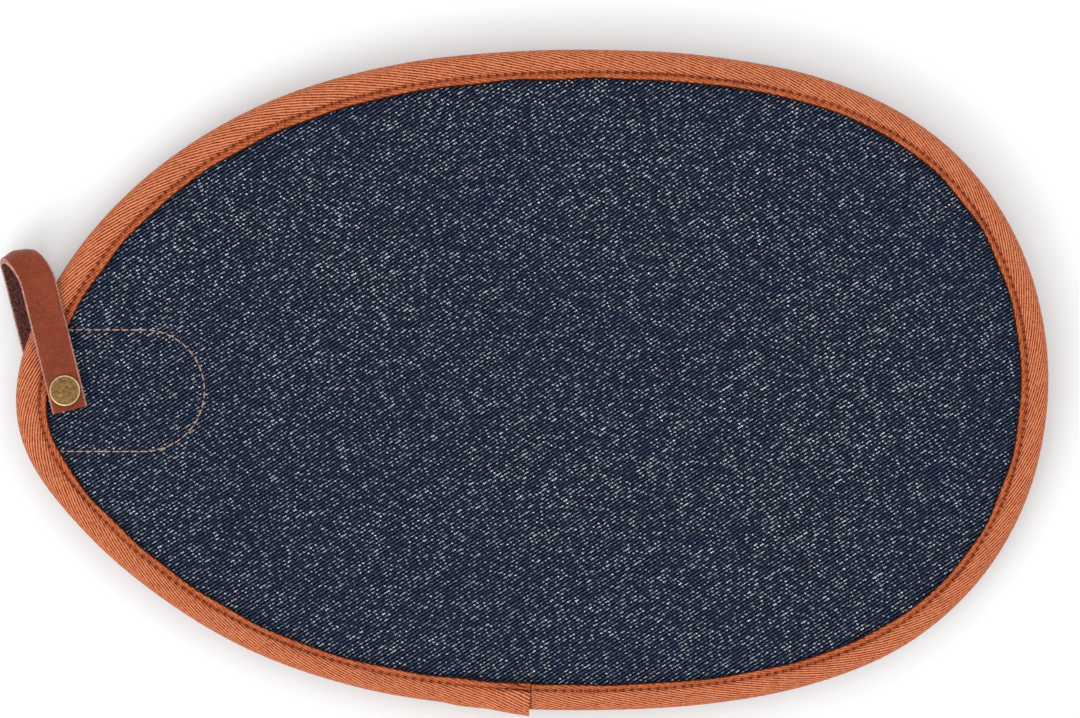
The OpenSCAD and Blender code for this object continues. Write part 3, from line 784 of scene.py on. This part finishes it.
def stitches(name, rows, length, radius, material):
    """A row of stitches is its places, its directions and which way is up from the cloth. A stitch is a
    capsule whose radius shrinks, and which sinks, with the square of the distance from its middle."""
    places, ways = (np.concatenate([row[k] for row in rows]) for k in (0, 1))
    up = np.concatenate([np.tile(row[2], (len(row[0]), 1)) for row in rows])
    t = np.linspace(-1, 1, STITCH_RINGS)
    a = np.arange(STITCH_SIDES) * 2 * np.pi / STITCH_SIDES
    thin = radius * np.sqrt(1.05 - t**4)
    ways = ways / np.linalg.norm(ways, axis=1, keepdims=True)
    side = np.cross(up, ways)
    along = t * length / 2
    across = thin[:, None] * np.cos(a)
    rise = thin[:, None] * np.sin(a) - STITCH_ARCH * (t**2)[:, None]
    rings = (
        places[:, None, None] + ways[:, None, None] * along[:, None, None]
        + side[:, None, None] * across[..., None] + up[:, None, None] * rise[..., None])
    points = rings.reshape(-1, 3)
    r, c = quads(STITCH_RINGS, STITCH_SIDES, wrap=True)
    caps = np.array([[3, 2, 1, 0], [5, 4, 3, 0], [0, 1, 2, 3], [0, 3, 4, 5]])
    caps[2:] += (STITCH_RINGS - 1) * STITCH_SIDES
    one = np.concatenate([r * STITCH_SIDES + c % STITCH_SIDES, caps])
    starts = np.arange(len(places))[:, None, None] * STITCH_RINGS * STITCH_SIDES
    flat = np.stack([np.repeat(along, STITCH_SIDES), np.tile(a, STITCH_RINGS) * radius], 1)
    faces = (starts + one).reshape(-1, 4)
    return new_mesh(name, points, faces, np.tile(flat[one], (len(places), 1, 1)), material)


def spaced(path, pitch):
    """Points at even steps along a path, from half a step in, and the path's direction at each."""
    far = length_along(path)
    at = np.arange(0.5 * pitch, far[-1], pitch)
    point, ahead, behind = (
        np.stack([np.interp(where, far, column) for column in path.T], 1)
        for where in (at, at + 0.3, at - 0.3))
    return point, ahead - behind


UP, DOWN = np.array([0.0, 0.0, 1.0]), np.array([0.0, 0.0, -1.0])

# %% The binding's seam, on both faces
seam_height = HALF_HEIGHT - 0.28
seam_section = np.array([[SEAM_FROM_EDGE, seam_height], [SEAM_FROM_EDGE, -seam_height]])
seam_angles, seam_along = tape_angles(3000)
seam_lines = tape_points(seam_angles, seam_along, seam_section, np.array([[0.0, 1.0], [0.0, -1.0]]))
face_row, under_row = (spaced(seam_lines[:, k], STITCH_PITCH) for k in (0, 1))
edge_stitching = stitches(
    "edge_stitching", [(*face_row, UP), (*under_row, DOWN)], 2.3, 0.21, THREAD_FINISH)
bend_over_fold(edge_stitching, "edge_stitching_fingers", "edge_stitching_thumb", slot="thread")

# %% The patch's seam, on both faces
turn = np.linspace(-np.pi / 2, np.pi / 2, 200)
round_end = np.stack([PATCH_X + PATCH_SEAM_RADIUS * np.cos(turn), PATCH_SEAM_RADIUS * np.sin(turn)], 1)
low_start, high_start = [[PATCH_U_START, -PATCH_SEAM_RADIUS]], [[PATCH_U_START, PATCH_SEAM_RADIUS]]
u_line = np.concatenate([low_start, round_end, high_start]) + [0, RIVET[1]]
u_points, u_ways = spaced(u_line, 3.0)
u_ways = np.column_stack([u_ways, np.zeros(len(u_ways))])
face_height = FACE_Z + palm_lift(u_points, rim_distance(u_points)) + 0.2
under_height = np.full(len(u_points), PATCH_LOW[2] - 0.08)
patch_rows = [
    (np.column_stack([u_points, height]), u_ways, up)
    for height, up in ((face_height, UP), (under_height, DOWN))]
patch_stitching = stitches("patch_stitching", patch_rows, 2.65, 0.25, PATCH_THREAD_FINISH)
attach(patch_stitching, "thumb_half")
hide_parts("patch_stitching")

# %% [markdown]
# ## The pockets
# Each pocket is denim, wadding and lining in the shape of a shallow dish. It is shut under the binding and
# the patch, and it opens over a few centimetres to its full depth, where it lies on the table. The denim is
# cut a little larger than the rim it is sewn to, so it settles in folds that run in from the seam: a cloth
# simulation makes them, and the other two layers follow it.

# %% The pockets' plan
FINGERS, THUMB = 1, -1
MOUTH_GAP, MOUTH_CURVE = 1.6, 12.0
MOUTH_STRIP = 10
# Heights of the layers' skins where a pocket is shut, and where it is fully open
DENIM_LOW = (8.8, 0.0)
LINING_LOW, LINING_HIGH = (11.8, 4.0), (12.36, 4.6)


def puff(points):
    """How far open a pocket is: 0 up to 18.5 mm from the rim and up to 7 mm from the patch, 1 from 23 mm
    further on."""
    room = np.minimum(rim_distance(points) - TAPE_WIDTH, points[..., 0] - PATCH_HIGH[0])
    return smooth((room - 7) / 23)


def pocket_plan(half, far_rows, columns):
    """Rows at one x from the mouth to the tip, laid from rim to rim. A row bows away from the slit by a
    parabola across it, all of it over the mouth's tape and less and less further on."""
    strip = np.arccos(-(FOLD_X + half * (MOUTH_GAP / 2 + np.arange(MOUTH_STRIP + 1))) / HALF_LENGTH)
    tip = np.radians(178.5 if half == FINGERS else 1.5)
    angle = np.concatenate([strip, np.linspace(strip[-1], tip, far_rows + 1)[1:]])
    kept = np.concatenate([np.ones(MOUTH_STRIP + 1), 1 - smooth(np.arange(1, far_rows + 1) / far_rows)])
    share = (1 - np.cos(np.pi * np.linspace(0, 1, columns)[None, :, None])) / 2
    margin = np.full(len(angle), CLOTH_MARGIN)
    low, high = inset(-angle, margin)[:, None], inset(angle, margin)[:, None]
    plan = low + (high - low) * share
    plan[..., 0] += half * MOUTH_CURVE * (4 * share * (1 - share))[..., 0] * kept[:, None]
    return plan


def dish(plan, heights):
    """A skin over the plan at the heights given where the pocket is shut and open."""
    return np.dstack([plan, heights[0] + (heights[1] - heights[0]) * puff(plan)])


def finer(skin, rows, columns):
    """The same skin on a finer grid, by a smooth curve down every column and then along every row."""
    tall = curve_through(skin.reshape(len(skin), -1), rows).reshape(rows, -1, 3)
    return curve_through(tall.transpose(1, 0, 2).reshape(skin.shape[1], -1), columns).reshape(
        columns, rows, 3).transpose(1, 0, 2)


# %% Letting the denim settle
SIM_SCALE = 5.0
SIM_FRAMES = 20
MOST_MOVED = 2.4
DENIM_CLOTH = {
    "mass": 0.3, "quality": 6, "tension_stiffness": 12, "compression_stiffness": 12, "shear_stiffness": 4,
    "bending_stiffness": 1.2, "tension_damping": 8, "compression_damping": 8, "air_damping": 3,
    "shrink_min": -0.015, "shrink_max": -0.015, "use_pressure": True, "uniform_pressure_force": 1.5}


def settled(skin, held):
    """A sheet on the skin's grid, one and a half hundredths too large, is held at its seams and blown
    outwards by a light pressure. It is made five times its size, where the solver works best. Gives back
    where its points end up."""
    rows, columns = skin.shape[:2]
    r, c = quads(rows, columns)
    faces, no_places = (r * columns + c)[:, ::-1], np.zeros((len(r), 4, 2))
    sheet = new_mesh("sheet", skin.reshape(-1, 3) * SIM_SCALE, faces, no_places, DENIM_FINISH)
    pins = sheet.vertex_groups.new(name="held")
    pins.add(np.flatnonzero(held.ravel()).tolist(), 1.0, "REPLACE")
    cloth = sheet.modifiers.new("cloth", "CLOTH")
    for setting, value in DENIM_CLOTH.items():
        setattr(cloth.settings, setting, value)
    cloth.settings.vertex_group_mass = "held"
    cloth.settings.effector_weights.gravity = 0
    cloth.point_cache.frame_start, cloth.point_cache.frame_end = 1, SIM_FRAMES
    for moment in range(1, SIM_FRAMES + 1):
        bpy.context.scene.frame_set(moment)
    blown = sheet.evaluated_get(bpy.context.evaluated_depsgraph_get())
    flat = np.empty(rows * columns * 3, np.float32)
    blown.data.vertices.foreach_get("co", flat)
    bpy.context.scene.frame_set(1)
    bpy.data.objects.remove(sheet)
    return flat.reshape(rows, columns, 3).astype(float) / MM / SIM_SCALE


def settled_pocket(half, far_rows, columns):
    """The pocket's plan, its denim's outer skin after settling, and how far that rose. A point moves no
    further than a limit, and stays off the table. The rim and the mouth's strip are held."""
    plan = pocket_plan(half, far_rows, columns)
    skin = dish(plan, DENIM_LOW)
    opened = puff(plan)
    held = (opened < 0.01) | (np.arange(len(plan)) < MOUTH_STRIP)[:, None]
    moved = settled(skin, held) - skin
    far = np.linalg.norm(moved, axis=2, keepdims=True)
    moved *= np.minimum(far, MOST_MOVED) / np.maximum(far, 1e-6)
    skin = skin + moved
    skin[..., 2] = np.maximum(skin[..., 2], 0)
    print(f"settled by {far.mean():.2f} mm on average, {far.max():.2f} mm at most")
    return plan, skin, skin[..., 2] - dish(plan, DENIM_LOW)[..., 2]


# %% A pocket's three layers and its bound mouth
def pocket(half, word):
    """Denim, wadding and lining, squeezed together in the mouth's tape, and the tape and its stitches."""
    plan, outer, moved = settled_pocket(half, 50, 56)
    inward = np.concatenate([np.arange(MOUTH_STRIP + 1), np.full(len(plan) - MOUTH_STRIP - 1, 99)])
    squeeze = (1 - smooth((inward - 7) / 3))[:, None]

    def skin(heights, lift, follow):
        made = dish(outer[..., :2] if follow == 1 else plan, heights)
        made[..., 2] += moved * follow + squeeze * lift
        return made

    def trimmed(skin):
        """The layers begin 1.5 mm inside the nose of the mouth's tape. Rows run towards +X."""
        first = (skin[1] + skin[2]) / 2
        return np.concatenate([first[None], skin[2:]])[::half]

    def layer(name, top, bottom, rows, columns, material, node, slot):
        level = np.dstack([plan, plan[..., 0] * 0])
        upper, lower, flat = (finer(trimmed(skin), rows, columns) for skin in (top, bottom, level))
        flat = flat[..., :2]
        lower[..., 2] = np.maximum(lower[..., 2], 0)
        made = slab(f"{word}_{name}", upper, lower, flat, material)
        bend_over_fold(made, node, slot=slot)
        return made

    low = outer.copy()
    low[..., 2] += squeeze * 0.95
    high = outer + [0, 0, 1.0]
    layer("pocket_denim", high, low, 190, 170, DENIM_FINISH, f"{word}_pocket_denim", "denim")
    wadding = layer(
        "pocket_wadding", skin(LINING_LOW, -0.6, 0.5), outer + [0, 0, 1.05], 70, 60,
        WADDING_FINISH, f"{word}_pocket_wadding", "wadding")
    layer("pocket_lining", skin(LINING_HIGH, -0.7, 0.5), skin(LINING_LOW, -0.55, 0.5), 110, 90,
          LINING_FINISH, f"{word}_pocket_lining", "lining")
    mouth(half, word, outer, skin(LINING_HIGH, 0, 0.5))


MOUTH_TAPE, MOUTH_SEAM = 8, 5
NOSE_POINTS, INSIDE_POINTS, MOUTH_PLACES = 33, 13, 180
# Distance from the mouth and share of the wall's height, round the nose of the mouth's tape
MOUTH_SECTION = [
    (8, 0), (7.3, -0.05), (5.9, 0.0), (5, 0.05), (4.2, -0.02), (2.4, 0.0), (0.9, 0.12), (0.0, 0.5),
    (0.9, 0.88), (2.4, 1.0), (4.2, 1.02), (5, 0.95), (5.9, 1.0), (7.3, 1.05), (8, 1)]


def mouth(half, word, low_skin, high_skin):
    """Tape folded over the pocket's mouth. A ring of its section stands at every place along the mouth."""
    nose = curve_through(MOUTH_SECTION, NOSE_POINTS)
    inside = curve_through(MOUTH_SECTION[::2], INSIDE_POINTS)[::-1]
    inside = np.column_stack([np.minimum(0.55 + inside[:, 0], MOUTH_TAPE), 0.5 + (inside[:, 1] - 0.5) * 0.74])
    section = np.concatenate([nose, inside])
    (near_low, far_low), (near_high, far_high) = (
        finer(skin[: MOUTH_STRIP + 1], MOUTH_STRIP + 1, MOUTH_PLACES)[[0, MOUTH_TAPE]]
        for skin in (low_skin, high_skin))
    depth = (section[:, 0] / MOUTH_TAPE)[None, :, None]
    level = section[:, 1][None, :, None]
    bottom = (near_low[:, None] * (1 - depth) + far_low[:, None] * depth) + [0, 0, 0.34]
    top = near_high[:, None] * (1 - depth) + far_high[:, None] * depth
    rings = bottom * (1 - level) + top * level
    along, across = length_along(near_low), length_along(section * [1, 4])
    if half == THUMB:
        rings, along = rings[::-1], along[::-1]
    made = sweep(f"{word}_mouth_binding", rings, along, [*across, across[-1]], MOUTH_FINISH)
    bend_over_fold(made, f"{word}_mouth_binding", slot="binding_tape")
    seams = [k for k in range(NOSE_POINTS) if abs(nose[k, 0] - MOUTH_SEAM) < 0.2]
    rows = []
    for k, up in ((seams[0], DOWN), (seams[-1], UP)):
        places, ways = spaced(rings[8:-8, k], STITCH_PITCH)
        rows.append((places + up * 0.02, ways, up))
    thread = stitches(f"{word}_mouth_stitching", rows, 2.2, 0.2, THREAD_FINISH)
    bend_over_fold(thread, f"{word}_mouth_stitching", slot="thread")


MOUTH_FINISH = twill_tape("rust_mouth_twill", 3.0, 20.4)
pocket(FINGERS, "finger")
pocket(THUMB, "thumb")

# %% [markdown]
# ## The leather patch
# A patch of leather stiffens the thumb end on the pocket's side, where the rivet bears on it.

# %% Patch
def patch_grid(rows, columns):
    """Rows from the binding's inner edge to the round end, bunched towards the edges like a cosine."""
    v = np.sin(np.linspace(-np.pi / 2, np.pi / 2, columns))
    share = ((1 - np.cos(np.linspace(0, np.pi, rows))) / 2)[:, None]
    y = RIVET[1] + PATCH_RADIUS * v
    right = PATCH_X + np.sqrt(np.maximum(PATCH_RADIUS**2 - (y - RIVET[1]) ** 2, 0))
    rim = inset(np.linspace(-1.2, 1.2, 400), np.full(400, TAPE_WIDTH + 0.3))
    left = np.interp(y, rim[:, 1], rim[:, 0])
    x = left + (right - left) * share
    return np.dstack([x, np.broadcast_to(y, x.shape)])


def mark_faces(thing, values):
    """Stores on every face's corners which face of the leather it is."""
    layer = thing.data.attributes.new("face", "FLOAT", "CORNER")
    layer.data.foreach_set("value", np.repeat(np.asarray(values, np.float32), 4))


PATCH_ROWS, PATCH_COLUMNS = 60, 70
flat = patch_grid(PATCH_ROWS, PATCH_COLUMNS)
row, column = np.ogrid[:PATCH_ROWS, :PATCH_COLUMNS]
edge_share = np.minimum(np.minimum(row, PATCH_ROWS - 1 - row), np.minimum(column, PATCH_COLUMNS - 1 - column))
bevel = 0.3 * (1 - smooth(edge_share / 3))
seam_groove = 0.25 * np.exp(-((patch_seam_distance(flat) / 0.8) ** 2))
patch = slab(
    "leather_patch", np.dstack([flat, PATCH_HIGH[2] - bevel]),
    np.dstack([flat, PATCH_LOW[2] + bevel + seam_groove]), flat, LEATHER_FINISH)
cells = (PATCH_ROWS - 1) * (PATCH_COLUMNS - 1)
mark_faces(patch, np.repeat([1, 0, 2], [cells, cells, len(patch.data.polygons) - 2 * cells]))
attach(patch, "thumb_half")
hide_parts("leather_patch")

# %% [markdown]
# ## The strap and its rivet
# The strap is one strip of 2 mm leather bent over on itself, with both ends under the rivet. Its back leg
# leaves the bend a few millimetres to the left and comes back to the rivet under the mitt. A double-cap
# rivet holds it: each cap is a shallow dome with a rolled rim, turned from one profile.

# %% Strap
STRAP_TURN = np.radians(104)
STRAP_WIDTH = 11.7
STRAP = 2.0
FRONT_Z, BACK_Z = STRAP_HIGH[2] - STRAP / 2, STRAP_LOW[2] + STRAP / 2
BEND = (FRONT_Z - BACK_Z) / 2
REACH, TAIL = 48.9 - STRAP / 2, 6.6
BACK_SHIFT = 5.8
ROLL = np.radians(8)


def strap_line(count):
    """The strip's middle line: straight, half a circle round the bend, and straight back. Gives its length
    so far, distance from the rivet, height, sideways shift, the angle of its outward normal, and its roll."""
    straight = REACH - BEND + TAIL
    s = np.linspace(0, 2 * straight + np.pi * BEND, count)
    turn = np.clip((s - straight) / BEND, 0, np.pi)
    back = np.clip(s - straight - np.pi * BEND, 0, None)
    reach = -TAIL + np.clip(s, 0, straight) - back + BEND * np.sin(turn)
    height = (FRONT_Z + BACK_Z) / 2 + BEND * np.cos(turn)
    shift = BACK_SHIFT * smooth((s - straight + 5) / (0.75 * np.pi * BEND + 5))
    shift *= np.where(back > 0, 0.3 + 0.7 * smooth((reach + 4) / 22), 1)
    along = np.clip(reach / (REACH - BEND), 0, 1)
    bow = 0.9 * np.sin(np.pi * along) * np.cos(turn)
    roll = ROLL * smooth((reach - 5) / 18) * np.cos(turn / 2)
    return s, reach, height + bow, shift, turn, roll


def strap_section(across, through):
    """A flat section with softly rounded corners: points counter-clockwise, and the leather's face on the
    stretch after each one."""
    w, t, r = STRAP_WIDTH / 2, STRAP / 2, 0.5
    wide = np.linspace(-w + r, w - r, across)
    tall = np.linspace(-t + r, t - r, through)
    top = np.column_stack([wide, np.full(across, t)])
    right = np.column_stack([np.full(through, w), tall[::-1]])
    points = np.concatenate([top, right, -top, -right])
    face = [0] * (across - 1) + [2] * (through + 1) + [1] * (across - 1) + [2] * (through + 1)
    return points, np.array(face)


def strap_rings(count):
    """The section at every place of the line. Across the bend its corners are drawn in, more on the left."""
    s, reach, height, shift, turn, roll = strap_line(count)
    section, face = strap_section(11, 3)
    ahead = np.array([np.cos(STRAP_TURN), np.sin(STRAP_TURN)])
    left = np.array([-ahead[1], ahead[0]])
    flat_w, flat_t = -section[None, :, 0], section[None, :, 1]
    w = flat_w * np.cos(roll)[:, None] - flat_t * np.sin(roll)[:, None] + shift[:, None]
    t = flat_t * np.cos(roll)[:, None] + flat_w * np.sin(roll)[:, None]
    rounded = 1.9 * smooth((flat_w - 1) / 5) + 0.7 * smooth((-flat_w - 2.5) / 3.4)
    r = reach[:, None] + (t - rounded) * np.sin(turn)[:, None]
    z = height[:, None] + t * np.cos(turn)[:, None]
    plan = RIVET[:2] + r[..., None] * ahead + w[..., None] * left
    return np.dstack([plan, z]), s, section, face


STRAP_PLACES = 150
rings, strap_along, section, face = strap_rings(STRAP_PLACES)
around = length_along(np.vstack([section, section[:1]]))
strap = sweep("hanging_strap", rings, strap_along, around, LEATHER_FINISH)
sides = np.tile(face, STRAP_PLACES - 1)
mark_faces(strap, np.concatenate([sides, np.full(len(strap.data.polygons) - len(sides), 2)]))
sharp_rim(strap, 60)
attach(strap, "strap")
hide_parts("hanging_strap")


# %% Rivet
RIVET_SIDES = 72


def turned_piece(name, profile):
    """A profile of distance from the axis and height, turned round the rivet's axis. It starts and ends
    on the axis, where a small flat closes it."""
    angles = np.linspace(0, 2 * np.pi, RIVET_SIDES, endpoint=False)
    profile = np.array(profile)
    r, z = np.maximum(profile[:, 0], 0.02), profile[:, 1]
    rings = np.stack([
        RIVET[0] + r[:, None] * np.cos(angles), RIVET[1] + r[:, None] * np.sin(angles),
        np.broadcast_to(z[:, None], (len(r), RIVET_SIDES))], -1)
    far = np.arange(len(profile)) * 0.5
    return sweep(name, rings, far, np.linspace(0, 30, RIVET_SIDES + 1), BRASS_FINISH)


def cap_profile(outside, inside, shaft, shaft_end):
    """From the shaft's end along its side, under the cap, round its rolled rim and up its shallow dome."""
    rise = outside - inside
    radius = (RIVET_HIGH[0] - RIVET_LOW[0]) / 2
    rim = [
        (radius - 0.35, inside), (radius - 0.05, inside + 0.22 * rise), (radius, inside + 0.45 * rise),
        (radius - 0.1, inside + 0.66 * rise), (radius - 0.4, inside + 0.80 * rise),
        (radius - 0.75, inside + 0.80 * rise), (radius - 1.15, inside + 0.78 * rise)]
    dome = [(k, inside + rise * (1 - 0.2 * (k / (radius - 1.15)) ** 2)) for k in (3.4, 2.7, 1.9, 1.0, 0.4, 0)]
    return [(0, shaft_end), (shaft - 0.2, shaft_end), (shaft, shaft_end + np.sign(inside - shaft_end) * 0.2),
            (shaft, inside)] + rim + dome


BASE_LOW = box("rivet_base")[0]
CAP_Z = STRAP_HIGH[2] + 0.05
BASE_Z = STRAP_LOW[2] - 0.05
cap = turned_piece("rivet_cap", cap_profile(RIVET_HIGH[2], CAP_Z, 1.5, BASE_Z + 1))
base = turned_piece("rivet_base", cap_profile(BASE_LOW[2], BASE_Z, 2.0, CAP_Z - 0.4)[::-1])
for piece, node in ((cap, "rivet_cap"), (base, "rivet_base")):
    sharp_rim(piece, 55)
    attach(piece, "thumb_half")
    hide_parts(node)

# %% [markdown]
# ## The paper
# A sheet of white paper under the mitt, far larger than the view, shows the mitt's soft shadow.

# %% Paper
paper_finish = Finish("white_paper", Roughness=0.9, Base_Color=(0.925, 0.965, 0.98, 1)).material
PAPER_REACH = 1500
corners = np.array([[-1, -1, 0], [1, -1, 0], [1, 1, 0], [-1, 1, 0]]) * PAPER_REACH
paper = new_mesh("paper", corners, np.array([[0, 1, 2, 3]]), np.zeros((1, 4, 2)), paper_finish)
